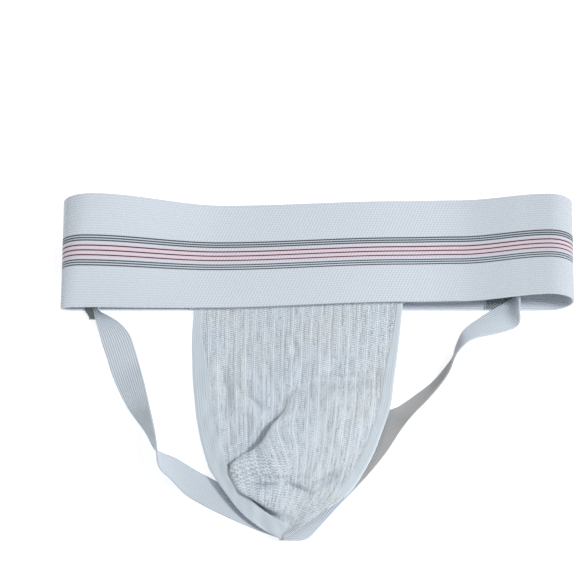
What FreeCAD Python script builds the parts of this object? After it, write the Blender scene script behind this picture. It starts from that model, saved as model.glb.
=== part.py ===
import FreeCAD, Part
import math
import os

# Soft groin supporter lying flat on its back: an elastic waistband ring, a knit pouch
# with edge bindings, and two elastic leg straps that meet the pouch at its tip.
# Millimetres.  +X across the waistband, +Y from the tip to the waistband, +Z up.

V = FreeCAD.Vector

# ---- driving dimensions -------------------------------------------------------------
BAND_FLAT = 346.0          # waistband lying flat, end to end
BAND_W = 76.0              # width of the waistband webbing
BAND_T = 1.4               # thickness of the waistband webbing
DROP = 170.0               # waistband lower edge to the lowest point of the straps
POUCH_W = 140.0            # pouch width where it meets the waistband
POUCH_T = 1.2              # knit fabric thickness
BULGE = 13.0               # how far the pouch front stands up
STRAP_W = 20.0             # leg strap width
STRAP_T = 1.2              # leg strap thickness
BIND_L = 12.5              # left pouch binding, visible width
BIND_R = 7.5               # right pouch binding, visible width
BIND_T = 0.9               # binding thickness
HEADER_H = 12.0            # pouch top sewn behind the waistband front layer
TAB_LEN = 27.0             # strap end sewn to the waistband back layer
LAP_LEN = 25.0             # overlap that closes the waistband ring
LOOP_LEFT = 30.0           # height of the open loop at the left end, upper edge
LOOP_RIGHT = 27.6          # height of the open loop at the right end, lower edge

GAP = 0.1                  # between pieces sewn together
FOLD_GAP = 1.0             # between the waistband edge and the parts that fold

# ---- derived values -----------------------------------------------------------------
TOP_Y = (BAND_W + DROP) / 2.0
EDGE_Y = TOP_Y - BAND_W
X_END = BAND_FLAT / 2.0
SX = BAND_FLAT / 346.0
POUCH_X = -13.0 * SX
POUCH_DROP = DROP - 3.0
LEFT_TAB_X = -138.6 * SX - 2.0
RIGHT_TAB_X = 123.0 * SX


def smooth_keys(keys, x):
    """Curve through the keys with a level tangent at each of them."""
    if x <= keys[0][0]:
        return keys[0][1]
    for (x0, z0), (x1, z1) in zip(keys, keys[1:]):
        if x <= x1:
            s = (x - x0) / (x1 - x0)
            return z0 + (z1 - z0) * s * s * (3.0 - 2.0 * s)
    return keys[-1][1]


def linear_keys(keys, x):
    """Straight interpolation through the keys."""
    if x <= keys[0][0]:
        return keys[0][1]
    for (x0, z0), (x1, z1) in zip(keys, keys[1:]):
        if x <= x1:
            return z0 + (z1 - z0) * (x - x0) / (x1 - x0)
    return keys[-1][1]


def spline_edge(points):
    curve = Part.BSplineCurve()
    curve.interpolate(points)
    return curve.toShape()


# ---- waistband ----------------------------------------------------------------------
# Loop shape at the lower edge and at the upper edge of the webbing:
# left end (length of lower quarter, length of upper quarter, crest height),
# right end the same, height of the widest point at each end, and the front height.
LOWER_EDGE = {
    "left": (7.0, 8.0, 6.0, 3.0),
    "right": (19.0, 16.0, LOOP_RIGHT, 0.56 * LOOP_RIGHT),
    "front": ((-165.0, 6.0), (-75.0, 4.9), (60.0, 14.5), (95.0, 15.5), (157.0, LOOP_RIGHT)),
}
UPPER_EDGE = {
    "left": (20.0, 24.0, LOOP_LEFT, 0.5 * LOOP_LEFT),
    "right": (19.0, 15.0, 23.5, 8.0),
    "front": ((-149.0, LOOP_LEFT), (-75.0, 4.9), (60.0, 9.5), (95.0, 10.5), (158.0, 23.5)),
}
FRONT_STEPS = 30
END_STEPS = 6


def front_height(edge, x):
    keys = [(kx * SX, kz) for kx, kz in edge["front"]]
    return smooth_keys(keys, x)


def ring_midline(edge):
    """Centre of the webbing, counted from the back layer round the right end to the left."""
    low = BAND_T / 2.0
    left_low, left_top, left_crest, left_mid = edge["left"]
    right_low, right_top, right_crest, right_mid = edge["right"]
    xl = -X_END + low
    xr = X_END - low
    pts = []
    for i in range(END_STEPS):
        a = math.pi / 2.0 * i / END_STEPS
        pts.append((xr - right_low + right_low * math.sin(a), right_mid - (right_mid - low) * math.cos(a)))
    for i in range(END_STEPS):
        a = math.pi / 2.0 * i / END_STEPS
        rise = right_crest - right_mid
        pts.append((xr - right_top + right_top * math.cos(a), right_mid + rise * math.sin(a)))
    x0 = xr - right_top
    x1 = xl + left_top
    for i in range(FRONT_STEPS):
        x = x0 + (x1 - x0) * i / FRONT_STEPS
        pts.append((x, front_height(edge, x)))
    for i in range(END_STEPS):
        a = math.pi / 2.0 * i / END_STEPS
        rise = left_crest - left_mid
        pts.append((xl + left_top - left_top * math.sin(a), left_mid + rise * math.cos(a)))
    for i in range(END_STEPS + 1):
        a = math.pi / 2.0 * i / END_STEPS
        pts.append((xl + left_low - left_low * math.cos(a), left_mid - (left_mid - low) * math.sin(a)))
    return pts


def offset_line(pts, dist):
    """Offset to the outside of the loop by dist; the ends keep a vertical normal."""
    out = []
    last = len(pts) - 1
    for i, (x, z) in enumerate(pts):
        if i in (0, last):
            out.append((x, z - dist))
            continue
        tx = pts[i + 1][0] - pts[i - 1][0]
        tz = pts[i + 1][1] - pts[i - 1][1]
        length = math.hypot(tx, tz)
        out.append((x + tz / length * dist, z - tx / length * dist))
    return out


def wall_wire(edge, y):
    """Section of the webbing from the right end of the back layer round to its left end."""
    mid = ring_midline(edge)
    outer = [V(x, y, z) for x, z in offset_line(mid, BAND_T / 2.0)]
    inner = [V(x, y, z) for x, z in offset_line(mid, -BAND_T / 2.0)]
    return Part.Wire([
        spline_edge(outer),
        Part.makeLine(outer[-1], inner[-1]),
        spline_edge(inner[::-1]),
        Part.makeLine(inner[0], outer[0]),
    ])


def make_back_layer():
    """Flat part of the ring that lies on the surface."""
    corners = []
    for edge, y in ((LOWER_EDGE, EDGE_Y), (UPPER_EDGE, TOP_Y)):
        mid = ring_midline(edge)
        corners.append((V(mid[-1][0], y, 0), V(mid[0][0], y, 0)))
    outline = quad_wire(corners[0][0], corners[0][1], corners[1][1], corners[1][0])
    return Part.Face(outline).extrude(V(0, 0, BAND_T))


def make_waistband():
    wall = Part.makeLoft([wall_wire(LOWER_EDGE, EDGE_Y), wall_wire(UPPER_EDGE, TOP_Y)], True, True)
    return wall.fuse(make_back_layer()).removeSplitter()


def band_front_mid(x, y):
    """Height of the centre of the front layer."""
    v = (y - EDGE_Y) / BAND_W
    return front_height(LOWER_EDGE, x) * (1.0 - v) + front_height(UPPER_EDGE, x) * v


# ---- helpers for thin pieces --------------------------------------------------------
def quad_wire(a, b, c, d):
    return Part.makePolygon([a, b, c, d, a])


def tape(rows, thick):
    """Solid tape through rows of (edge point, edge point), thick measured upwards."""
    up = V(0, 0, thick)
    wires = [quad_wire(p, q, q + up, p + up) for p, q in rows]
    return Part.makeLoft(wires, True, True)


def box(x0, x1, y0, y1, z0, z1):
    return Part.makeBox(x1 - x0, y1 - y0, z1 - z0, V(x0, y0, z0))


# ---- pouch --------------------------------------------------------------------------
# Outline: (fraction of the drop below the waistband, x as a fraction of the pouch width).
LEFT_OUTLINE = (
    (0.0, -0.503), (0.084, -0.519), (0.15, -0.519), (0.305, -0.510), (0.485, -0.476),
    (0.641, -0.431), (0.772, -0.370), (0.862, -0.286), (0.949, -0.163), (1.0, -0.075),
)
RIGHT_OUTLINE = (
    (0.0, 0.498), (0.129, 0.488), (0.284, 0.469), (0.395, 0.446), (0.527, 0.408),
    (0.683, 0.338), (0.814, 0.222), (0.880, 0.128), (0.964, 0.012), (1.0, -0.041),
)
POUCH_ROWS = (0.0, 0.06, 0.13, 0.21, 0.3, 0.39, 0.48, 0.57, 0.66, 0.74, 0.81, 0.87, 0.92, 0.96, 0.985)
PANEL_COLS = 12
EDGE_Z = 3.9


def pouch_y(f):
    return EDGE_Y - FOLD_GAP - (POUCH_DROP - FOLD_GAP) * f


def left_x(f):
    return POUCH_X + POUCH_W * linear_keys(LEFT_OUTLINE, f)


def right_x(f):
    return POUCH_X + POUCH_W * linear_keys(RIGHT_OUTLINE, f)


def panel_z(x, f):
    """Height of the centre of the pouch fabric."""
    xl = left_x(f)
    xr = right_x(f)
    u = min(1.0, max(0.0, (x - xl) / (xr - xl)))
    top = band_front_mid(x, EDGE_Y) - BAND_T / 2.0 - GAP - POUCH_T / 2.0
    side = EDGE_Z * (1.0 - u) + (EDGE_Z + 4.5 * (1.0 - f)) * u
    lift = BULGE * math.sin(math.pi * min(1.0, f) ** 0.9) * math.sin(math.pi * u) * (0.5 + 0.7 * u)
    low = side + lift
    s = min(1.0, f / 0.4)
    k = s * s * (3.0 - 2.0 * s)
    return top * (1.0 - k) + low * k


def panel_row(f):
    xl = left_x(f)
    xr = right_x(f)
    y = pouch_y(f)
    pts = []
    for i in range(PANEL_COLS + 1):
        x = xl + (xr - xl) * i / PANEL_COLS
        pts.append(V(x, y, panel_z(x, f)))
    return pts


def make_pouch_panel():
    up = V(0, 0, POUCH_T / 2.0)
    wires = []
    for f in POUCH_ROWS:
        mid = panel_row(f)
        top = [p + up for p in mid]
        low = [p - up for p in mid]
        wires.append(Part.Wire([
            spline_edge(top),
            Part.makeLine(top[-1], low[-1]),
            spline_edge(low[::-1]),
            Part.makeLine(low[0], top[0]),
        ]))
    return Part.makeLoft(wires, True, True)


def panel_top(x, y):
    f = (EDGE_Y - FOLD_GAP - y) / (POUCH_DROP - FOLD_GAP)
    return panel_z(x, min(1.0, max(0.0, f))) + POUCH_T / 2.0


def edge_path(side_x, f0, f1, steps):
    return [(side_x(f0 + (f1 - f0) * i / steps), pouch_y(f0 + (f1 - f0) * i / steps)) for i in range(steps + 1)]


def edge_tape(side_x, sign, f0, f1, inset, width, lift, thick, steps=24):
    """Tape that lies on the pouch face along one edge, inset from it."""
    path = edge_path(side_x, f0, f1, steps)
    rows = []
    for i, (x, y) in enumerate(path):
        a = path[max(0, i - 1)]
        b = path[min(steps, i + 1)]
        tx = b[0] - a[0]
        ty = b[1] - a[1]
        length = math.hypot(tx, ty)
        nx = -ty / length * sign
        ny = tx / length * sign
        if i in (0,):
            nx = sign
            ny = 0.0
        p = (x + nx * inset, y + ny * inset)
        q = (x + nx * (inset + width), y + ny * (inset + width))
        rows.append((V(p[0], p[1], panel_top(*p) + lift), V(q[0], q[1], panel_top(*q) + lift)))
    return tape(rows, thick)


BIND_LIFT = 0.25
THREAD = 0.5


def make_left_binding():
    return edge_tape(left_x, 1.0, 0.0, 0.9, 0.0, BIND_L, BIND_LIFT, BIND_T)


def make_right_binding():
    return edge_tape(right_x, -1.0, 0.0, 0.83, 0.0, BIND_R, BIND_LIFT, BIND_T)


def make_left_binding_stitching():
    lift = BIND_LIFT + BIND_T + GAP
    return edge_tape(left_x, 1.0, 0.01, 0.88, BIND_L - 2.5, THREAD, lift, 0.3)


def make_right_binding_stitching():
    lift = BIND_LIFT + BIND_T + GAP
    return edge_tape(right_x, -1.0, 0.01, 0.81, BIND_R - 2.0, THREAD, lift, 0.3)


def make_tip_overlock():
    return edge_tape(right_x, -1.0, 0.85, 0.985, 0.0, 3.5, BIND_LIFT, 1.2, 8)


# ---- pouch top behind the waistband -------------------------------------------------
def header_row(y, rise, thick):
    """Section of the pouch top: its face is rise below the waistband front layer."""
    x0 = left_x(0.0)
    x1 = right_x(0.0)
    top = []
    low = []
    for i in range(PANEL_COLS + 1):
        x = x0 + (x1 - x0) * i / PANEL_COLS
        z = band_front_mid(x, y) - BAND_T / 2.0 - rise
        top.append(V(x, y, z))
        low.append(V(x, y, z - thick))
    return Part.Wire([
        spline_edge(top),
        Part.makeLine(top[-1], low[-1]),
        spline_edge(low[::-1]),
        Part.makeLine(low[0], top[0]),
    ])


def header_band(y0, y1, rise, thick):
    return Part.makeLoft([header_row(y0, rise, thick), header_row(y1, rise, thick)], True, True)


HEADER_RISE = 0.25


def make_pouch_header():
    return header_band(EDGE_Y, EDGE_Y + HEADER_H, HEADER_RISE, POUCH_T)


def make_seam(y):
    return header_band(y - THREAD / 2.0, y + THREAD / 2.0, HEADER_RISE + POUCH_T + GAP, 0.3)


# ---- strap ends and the ring overlap ------------------------------------------------
def make_tab(x):
    z = BAND_T + GAP
    half = STRAP_W / 2.0
    return box(x - half, x + half, EDGE_Y, EDGE_Y + TAB_LEN, z, z + STRAP_T)


def make_bartack(x):
    z = BAND_T + GAP + STRAP_T + GAP
    half = STRAP_W / 2.0 - 1.5
    return box(x - half, x + half, EDGE_Y + 5.0, EDGE_Y + 8.0, z, z + 0.4)


def make_lap_end():
    z = BAND_T + GAP
    half = LAP_LEN / 2.0
    return box(POUCH_X - half, POUCH_X + half, EDGE_Y, TOP_Y, z, z + BAND_T)


def make_lap_stitching(x):
    z = BAND_T + GAP + BAND_T + GAP
    return box(x - 1.0, x + 1.0, EDGE_Y + 2.0, TOP_Y - 2.0, z, z + 0.3)


# ---- leg straps ---------------------------------------------------------------------
# Stations from the waistband to the tip: centre x, centre y (with the waistband edge at
# y = 47), heading of the raised edge in degrees, and how steeply the strap stands on its
# lower edge (0 lying flat, 1 upright).
LEFT_STRAP = (
    (-140, 46, 0, 0.0), (-138, 37, -5, 0.20), (-134, 23, 6, 0.33), (-130, 8, 10, 0.15),
    (-124, -10, -3, 0.42), (-118, -29, -15, 0.72), (-112, -46, -48, 0.86), (-108, -58, -77, 0.90),
    (-104, -66, -97, 0.59), (-96, -73, -104, 0.31), (-85, -80, -112, 0.08), (-70, -88, -116, 0.0),
    (-54, -97, -112, 0.0), (-38, -104.5, -106, 0.0), (-23.5, -110, -100, 0.0),
)
RIGHT_STRAP = (
    (123, 46, 180, 0.0), (122, 40, 176, 0.20), (114, 31, 178, 0.66), (101, 20, 205, 0.90),
    (90, 5, 245, 0.92), (80, -11, 290, 0.80), (64, -27, 304, 0.55), (50, -39, 308, 0.20),
    (38, -53, 311, 0.04), (24, -71, 311, 0.0), (9, -89, 309, 0.0), (-3, -102, 300, 0.0),
    (-11, -108.5, 285, 0.0), (-19.5, -110, 270, 0.0),
)


def pouch_growth(y, side_x, sign):
    """How far the straps move outwards when the pouch is wider than 140."""
    f = (EDGE_Y - y) / POUCH_DROP
    k = min(1.0, max(0.0, f * 5.0)) * max(0.0, 1.0 - f)
    return sign * (POUCH_W - 140.0) / 2.0 * k * min(1.0, 2.0 * (1.0 - f) + 0.3)


def strap_rows(stations, side_x, sign):
    rows = []
    for x, y, heading, lean in stations:
        cy = EDGE_Y - (47.0 - y) * DROP / 170.0
        if y < -100:
            cy = EDGE_Y - DROP + STRAP_W / 2.0 * abs(math.sin(math.radians(heading))) + (y + 110.0) * DROP / 170.0
        cx = x * SX + pouch_growth(cy, side_x, sign)
        run = STRAP_W / 2.0 * math.sqrt(1.0 - lean * lean)
        dx = math.cos(math.radians(heading)) * run
        dy = math.sin(math.radians(heading)) * run
        rows.append((V(cx + dx, cy + dy, STRAP_W * lean), V(cx - dx, cy - dy, 0.0)))
    return rows


def make_strap(stations, side_x, sign):
    rows = strap_rows(stations, side_x, sign)
    wires = []
    last = len(rows) - 1
    prev = None
    for i, (a, b) in enumerate(rows):
        ahead = (rows[min(last, i + 1)][0] + rows[min(last, i + 1)][1]) * 0.5
        behind = (rows[max(0, i - 1)][0] + rows[max(0, i - 1)][1]) * 0.5
        across = (a - b).normalize()
        n = (ahead - behind).cross(across).normalize() * (STRAP_T / 2.0)
        if prev is not None and n.dot(prev) < 0:
            n = n * -1.0
        prev = n
        low = min((p + m).z for p in (a, b) for m in (n, n * -1.0))
        lift = V(0, 0, -low)
        wires.append(quad_wire(a + n + lift, b + n + lift, b - n + lift, a - n + lift))
    return Part.makeLoft(wires, True, True)


# ---- all pieces ---------------------------------------------------------------------
def build_all():
    lap = LAP_LEN / 2.0 - 3.0
    return {
        "waistband": make_waistband(),
        "waistband_lap_end": make_lap_end(),
        "lap_stitching_left": make_lap_stitching(POUCH_X - lap),
        "lap_stitching_right": make_lap_stitching(POUCH_X + lap),
        "pouch_header": make_pouch_header(),
        "pouch_seam_lower_stitching": make_seam(EDGE_Y + 3.0),
        "pouch_seam_upper_stitching": make_seam(EDGE_Y + HEADER_H - 3.0),
        "left_strap_end_tab": make_tab(LEFT_TAB_X),
        "right_strap_end_tab": make_tab(RIGHT_TAB_X),
        "left_strap_bartack": make_bartack(LEFT_TAB_X),
        "right_strap_bartack": make_bartack(RIGHT_TAB_X),
        "pouch_panel": make_pouch_panel(),
        "pouch_left_binding": make_left_binding(),
        "pouch_right_binding": make_right_binding(),
        "left_binding_stitching": make_left_binding_stitching(),
        "right_binding_stitching": make_right_binding_stitching(),
        "tip_overlock": make_tip_overlock(),
        "left_leg_strap": make_strap(LEFT_STRAP, left_x, -1.0),
        "right_leg_strap": make_strap(RIGHT_STRAP, right_x, 1.0),
    }


os.makedirs("parts", exist_ok=True)
for name, shape in build_all().items():
    shape.exportStep("parts/" + name + ".step")
    bb = shape.BoundBox
    print("%-28s vol %9.1f valid %s solids %d  x %.1f..%.1f y %.1f..%.1f z %.2f..%.2f" % (
        name, shape.Volume, shape.isValid(), len(shape.Solids),
        bb.XMin, bb.XMax, bb.YMin, bb.YMax, bb.ZMin, bb.ZMax))
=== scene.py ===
"""Soft groin supporter lying on its back: waistband ring, knit pouch and two leg straps."""

import logging
import math
from dataclasses import dataclass, field
from enum import Enum
from typing import Optional, Sequence

import bpy
import numpy as np
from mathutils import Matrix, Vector


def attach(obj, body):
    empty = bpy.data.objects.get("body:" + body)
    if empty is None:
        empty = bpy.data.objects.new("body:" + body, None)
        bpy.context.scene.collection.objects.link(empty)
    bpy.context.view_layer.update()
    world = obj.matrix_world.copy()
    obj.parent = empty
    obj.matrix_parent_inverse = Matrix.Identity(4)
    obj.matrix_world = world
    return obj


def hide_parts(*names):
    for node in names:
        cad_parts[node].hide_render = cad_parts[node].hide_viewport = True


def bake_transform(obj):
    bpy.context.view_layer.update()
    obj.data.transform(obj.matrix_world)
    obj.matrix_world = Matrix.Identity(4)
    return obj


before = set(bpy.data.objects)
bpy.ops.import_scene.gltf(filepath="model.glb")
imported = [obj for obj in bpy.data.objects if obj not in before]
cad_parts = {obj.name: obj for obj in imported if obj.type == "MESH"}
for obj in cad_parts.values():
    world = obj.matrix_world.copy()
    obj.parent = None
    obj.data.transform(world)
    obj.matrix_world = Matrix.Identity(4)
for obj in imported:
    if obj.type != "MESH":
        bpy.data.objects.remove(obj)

log = logging.getLogger("supporter")
MM = 0.001
SLOPE = math.tan(math.radians(25.0))
BAND_EDGE = 47.0  # lower edge of the waistband, up the table
BEHIND_FRONT = 2.1  # pouch fabric below the middle of the front layer
SOFT_EDGE = 0.45  # share of a fabric's thickness left at its cut edges
SIDES = 6  # faces round a thread
Point = tuple[float, float, float]
Colour = tuple[float, float, float]


def linear(red: int, green: int, blue: int) -> Colour:
    """Turn an 8 bit display colour into a linear one."""
    out = []
    for value in (red, green, blue):
        c = value / 255.0
        out.append(c / 12.92 if c <= 0.04045 else ((c + 0.055) / 1.055) ** 2.4)
    return out[0], out[1], out[2]


# --- curves
def smoothstep(x: np.ndarray, low: float, high: float) -> np.ndarray:
    """Ramp from 0 at low to 1 at high with level ends."""
    s = np.clip((np.asarray(x, float) - low) / (high - low), 0.0, 1.0)
    return s * s * (3.0 - 2.0 * s)


def level_keys(keys: Sequence[tuple[float, float]], x: np.ndarray) -> np.ndarray:
    """Curve through keys with a level tangent at each of them."""
    x = np.asarray(x, float)
    out = np.full(x.shape, keys[0][1], float)
    for (x0, z0), (x1, z1) in zip(keys, keys[1:]):
        out = np.where(x > x0, z0 + (z1 - z0) * smoothstep(x, x0, x1), out)
    return out


def flowing(points: Sequence[Sequence[float]], count: int) -> np.ndarray:
    """Smooth curve through points, sampled evenly along its length.

    Args:
        points: the points it passes through.
        count: how many samples to return.

    Returns:
        An array of count rows.
    """
    p = np.array(points, float)
    padded = np.vstack([2 * p[0] - p[1], p, 2 * p[-1] - p[-2]])
    rows = []
    for i in range(1, len(padded) - 2):
        a, b, c, d = padded[i - 1:i + 3]
        for s in np.linspace(0.0, 1.0, 24, endpoint=False):
            rows.append(0.5 * (2 * b + (c - a) * s + (2 * a - 5 * b + 4 * c - d) * s * s
                               + (3 * b - a - 3 * c + d) * s ** 3))
    rows.append(p[-1])
    line = np.array(rows)
    along = way_along(line)
    at = np.linspace(0.0, along[-1], count)
    return np.stack([np.interp(at, along, line[:, k]) for k in range(line.shape[1])], axis=1)


def unit(v: np.ndarray) -> np.ndarray:
    """Vectors made one long."""
    return v / np.maximum(np.linalg.norm(v, axis=-1, keepdims=True), 1e-12)


def way_along(line: np.ndarray) -> np.ndarray:
    """Distance of each point of a line from its start."""
    return np.concatenate([[0.0], np.cumsum(np.linalg.norm(np.diff(line, axis=0), axis=1))])


def ribbing(place: np.ndarray, pitch: float) -> np.ndarray:
    """Wave from -1 to 1 with one crest for each pitch."""
    return np.cos(2.0 * math.pi * place / pitch)


def pattern(along: np.ndarray, across: np.ndarray) -> np.ndarray:
    """Pattern position of each point of a grid, from its rows and its columns."""
    return np.stack(np.broadcast_arrays(along[:, None], across), axis=-1)


# --- meshes
def add_mesh(name: str, verts: np.ndarray, faces: Sequence[Sequence[int]],
             uvs: Optional[np.ndarray]) -> bpy.types.Object:
    """Make an object from points in millimetres.

    Args:
        name: piece name.
        verts: points, in millimetres.
        faces: corner indices of each face.
        uvs: one pattern position for each point, in millimetres, or None.

    Returns:
        The new object.
    """
    mesh = bpy.data.meshes.new(name)
    mesh.from_pydata((np.asarray(verts, float) * MM).tolist(), [], [list(f) for f in faces])
    mesh.update()
    if uvs is not None:
        layer = mesh.uv_layers.new(name="weave")
        index = np.zeros(len(mesh.loops), np.int32)
        mesh.loops.foreach_get("vertex_index", index)
        layer.data.foreach_set("uv", np.asarray(uvs, np.float32)[index].ravel())
    mesh.polygons.foreach_set("use_smooth", np.ones(len(mesh.polygons), bool))
    obj = bpy.data.objects.new(name, mesh)
    bpy.context.scene.collection.objects.link(obj)
    return obj


def grid_normals(grid: np.ndarray, wrap: bool) -> np.ndarray:
    """Unit normals of a grid of points, rows by columns."""
    if wrap:
        du = np.roll(grid, -1, axis=0) - np.roll(grid, 1, axis=0)
    else:
        du = np.gradient(grid, axis=0)
    dv = np.gradient(grid, axis=1)
    return unit(np.cross(du, dv))


def cloth(name: str, grid: np.ndarray, thick: float, uv: np.ndarray, wrap: bool = False,
          face: float | np.ndarray = 0.0, back: float | np.ndarray = 0.0) -> bpy.types.Object:
    """Closed sheet of fabric around a grid of middle points.

    Args:
        name: piece name.
        grid: middle points, rows by columns by 3, in millimetres.
        thick: fabric thickness.
        uv: pattern position of each grid point, in millimetres.
        wrap: the rows close on themselves.
        face: relief added to the outer face.
        back: relief added to the inner face.

    Returns:
        The new object.
    """
    rows, cols = grid.shape[:2]
    n = grid_normals(grid, wrap)
    half = np.full((rows, cols), thick / 2.0)
    half[:, 0] *= SOFT_EDGE
    half[:, -1] *= SOFT_EDGE
    if not wrap:
        half[0, :] *= SOFT_EDGE
        half[-1, :] *= SOFT_EDGE
    top = grid + n * (half + face * half / (thick / 2.0))[..., None]
    low = grid - n * (half + back * half / (thick / 2.0))[..., None]
    verts = np.concatenate([top.reshape(-1, 3), low.reshape(-1, 3)])
    ids = np.arange(rows * cols).reshape(rows, cols)
    ahead = np.roll(ids, -1, axis=0) if wrap else ids[1:]
    here = ids if wrap else ids[:-1]
    quads = np.stack([here[:, :-1], ahead[:, :-1], ahead[:, 1:], here[:, 1:]], axis=-1).reshape(-1, 4)
    shift = rows * cols
    faces = [quads, quads[:, ::-1] + shift]
    faces.append(np.stack([here[:, 0], here[:, 0] + shift, ahead[:, 0] + shift, ahead[:, 0]], axis=-1))
    faces.append(np.stack([here[:, -1], ahead[:, -1], ahead[:, -1] + shift, here[:, -1] + shift], axis=-1))
    if not wrap:
        a, b = ids[0, :-1], ids[0, 1:]
        faces.append(np.stack([a, b, b + shift, a + shift], axis=-1))
        a, b = ids[-1, :-1], ids[-1, 1:]
        faces.append(np.stack([a, a + shift, b + shift, b], axis=-1))
    flat = uv.reshape(-1, 2)
    return add_mesh(name, verts, np.concatenate(faces).tolist(), np.concatenate([flat, flat]))


def tubes(name: str, paths: Sequence[np.ndarray], radius: float) -> bpy.types.Object:
    """Threads: round tubes with tapered ends along several paths, as one piece.

    Args:
        name: piece name.
        paths: each an array of points, in millimetres.
        radius: thread radius.

    Returns:
        The new object.
    """
    verts: list[np.ndarray] = []
    faces: list[list[int]] = []
    uvs: list[tuple[float, float]] = []
    base = 0
    for path in paths:
        p = np.asarray(path, float)
        t = unit(np.gradient(p, axis=0))
        side = np.cross(t, (0.0, 0.0, 1.0))
        weak = np.linalg.norm(side, axis=1) < 1e-4
        side[weak] = (1.0, 0.0, 0.0)
        side = unit(side)
        up = unit(np.cross(side, t))
        count = len(p)
        size = np.full(count, radius)
        size[0] = size[-1] = radius * 0.35
        for i in range(count):
            for k in range(SIDES):
                a = 2.0 * math.pi * k / SIDES
                verts.append(p[i] + (side[i] * math.cos(a) + up[i] * math.sin(a)) * size[i])
                uvs.append((float(i), float(k)))
        for i in range(count - 1):
            for k in range(SIDES):
                q = (k + 1) % SIDES
                r0, r1 = base + i * SIDES, base + (i + 1) * SIDES
                faces.append([r0 + k, r0 + q, r1 + q, r1 + k])
        faces.append([base + k for k in reversed(range(SIDES))])
        faces.append([base + (count - 1) * SIDES + k for k in range(SIDES)])
        base += count * SIDES
    return add_mesh(name, np.array(verts), faces, np.array(uvs))


# --- shader maths
class Sig:
    """A number or a node socket, with operators that add Math nodes."""

    def __init__(self, shader: "Shader", socket: object) -> None:
        """Keep the shader it belongs to and its socket or number."""
        self.shader = shader
        self.socket = socket

    def _math(self, operation: str, *others: object, clamp: bool = False) -> "Sig":
        """Add a Math node."""
        values = [self, *others]
        return self.shader.node("ShaderNodeMath", {"operation": operation, "use_clamp": clamp},
                                {i: v for i, v in enumerate(values)})

    def __add__(self, other: object) -> "Sig":
        """Sum."""
        return self._math("ADD", other)

    __radd__ = __add__

    def __mul__(self, other: object) -> "Sig":
        """Product."""
        return self._math("MULTIPLY", other)

    __rmul__ = __mul__

    def __sub__(self, other: object) -> "Sig":
        """Difference."""
        return self._math("SUBTRACT", other)

    def __rsub__(self, other: object) -> "Sig":
        """Difference, the other way round."""
        return Sig(self.shader, other)._math("SUBTRACT", self)

    def __truediv__(self, other: object) -> "Sig":
        """Quotient."""
        return self._math("DIVIDE", other)

    def __abs__(self) -> "Sig":
        """Size without sign."""
        return self._math("ABSOLUTE")

    def power(self, other: object) -> "Sig":
        """Raised to a power."""
        return self._math("POWER", other)

    def wave(self, pitch: float, shift: float = 0.0) -> "Sig":
        """Cosine of the signal with that pitch, from -1 to 1."""
        return (self * (2.0 * math.pi / pitch) + shift)._math("COSINE")

    def sawtooth(self, pitch: float) -> "Sig":
        """Distance from the nearest multiple of pitch, from 0 to pitch/2."""
        return self._math("PINGPONG", pitch / 2.0)

    def clamped(self) -> "Sig":
        """Held between 0 and 1."""
        return self._math("ADD", 0.0, clamp=True)

    def line(self, centre: float, half: float, soft: float) -> "Sig":
        """One within half of centre, falling to zero over soft."""
        return ((half + soft - abs(self - centre)) / soft).clamped()

def rgba(value: object) -> object:
    """A colour with its alpha; anything else as it is."""
    return (*value, 1.0) if isinstance(value, tuple) and len(value) == 3 else value


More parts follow.
